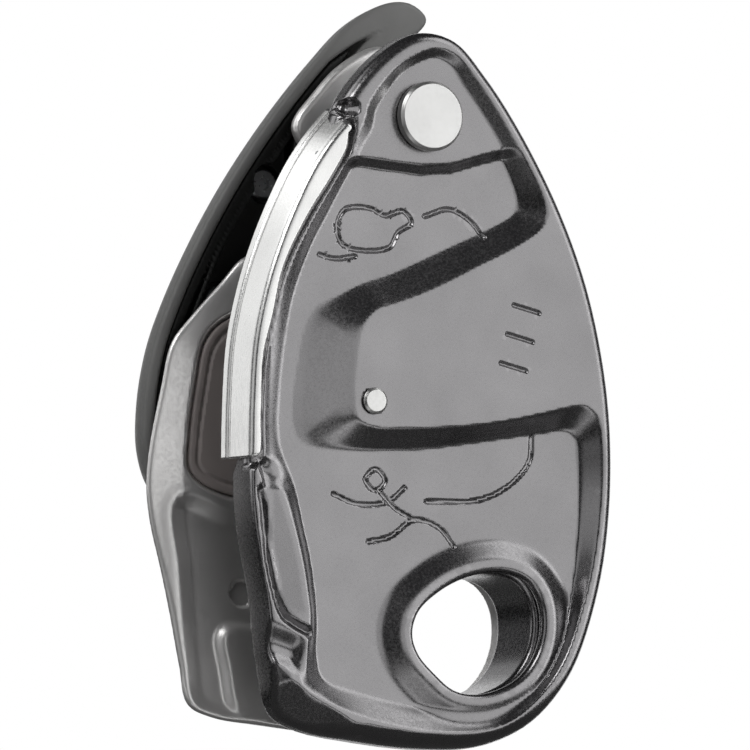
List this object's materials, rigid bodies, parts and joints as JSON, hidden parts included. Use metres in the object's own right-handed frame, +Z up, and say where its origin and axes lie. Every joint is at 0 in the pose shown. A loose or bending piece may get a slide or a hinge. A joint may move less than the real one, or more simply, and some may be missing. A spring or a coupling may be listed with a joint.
{
  "type": "assisted-braking belay device",
  "caption": "Assisted-braking rope belay device: two pivoting side plates around a sprung cam, with an attachment hole, a release handle and a mode selector.",
  "frame": {"origin": "centre of the attachment hole, on the mid-plane of the gap between the side plates", "axes": "+Z up towards the narrow end with the main rivet, +Y from the moving side plate through to the handle at the back, +X to the right seen from the front"},
  "size_m": [0.0695, 0.0306, 0.1143],
  "materials": {
    "plate_silver": "bead-blasted and clear anodised silver aluminium",
    "plate_gunmetal": "satin gunmetal-grey anodised forged aluminium",
    "inlay_taupe": "matte grey-brown moulded insert",
    "stainless_strip": "bright brushed stainless steel",
    "rivet_bright": "bright satin stainless steel",
    "steel_polished": "polished stainless steel",
    "steel_satin": "satin zinc-plated steel",
    "spring_steel": "drawn spring steel",
    "cam_steel": "tumbled stainless steel casting",
    "bronze": "sintered bronze",
    "handle_grey": "grey glass-filled nylon with a fine moulded grain",
    "nylon_black": "black glass-filled nylon"
  },
  "bodies": {
    "frame": {"fixed_side_plate": "plate_silver", "side_inlay": "inlay_taupe", "friction_plate": "steel_polished", "friction_plate_rivet_left": "steel_satin", "friction_plate_rivet_right": "steel_satin", "main_rivet": "rivet_bright", "main_spacer": "steel_satin", "cam_axle": "steel_satin", "cam_stop_pin": "steel_satin", "cam_return_spring": "spring_steel", "axle_retaining_ring": "spring_steel", "selector_screw": "steel_satin", "selector_spring": "spring_steel", "handle_return_spring": "spring_steel"},
    "moving_plate": {"moving_side_plate": "plate_gunmetal", "wear_strip": "stainless_strip", "wear_strip_rivet_upper": "steel_satin", "wear_strip_rivet_lower": "steel_satin", "main_bush": "bronze", "locating_pin": "rivet_bright"},
    "cam": {"cam": "cam_steel", "cam_bush": "bronze"},
    "handle": {"handle_lever": "handle_grey", "handle_liner": "nylon_black", "handle_grip": "nylon_black", "handle_grip_screw_upper": "steel_satin", "handle_grip_screw_lower": "steel_satin", "handle_bush": "bronze", "clutch_ring": "bronze", "handle_pivot_cap": "handle_grey"},
    "selector": {"mode_selector": "nylon_black", "selector_detent_ball": "steel_satin"}
  },
  "joints": [
    {"name": "side_plate_swing", "type": "hinge", "parent": "frame", "child": "moving_plate", "pos_m": [-0.0086, 0, 0.0772], "axis": [0, 1, 0], "range_deg": [0, 110]},
    {"name": "cam_clamp", "type": "hinge", "parent": "frame", "child": "cam", "pos_m": [-0.0181, 0, 0.0341], "axis": [0, 1, 0], "range_deg": [0, 25], "stiffness_Nm_per_rad": 0.05, "springref_deg": -34.38},
    {"name": "handle_release", "type": "hinge", "parent": "frame", "child": "handle", "pos_m": [-0.0181, 0, 0.0341], "axis": [0, -1, 0], "range_deg": [0, 150], "stiffness_Nm_per_rad": 0.03, "springref_deg": -85.94},
    {"name": "selector_turn", "type": "hinge", "parent": "frame", "child": "selector", "pos_m": [0.007, 0, 0.058], "axis": [0, -1, 0], "range_deg": [0, 90]}
  ]
}
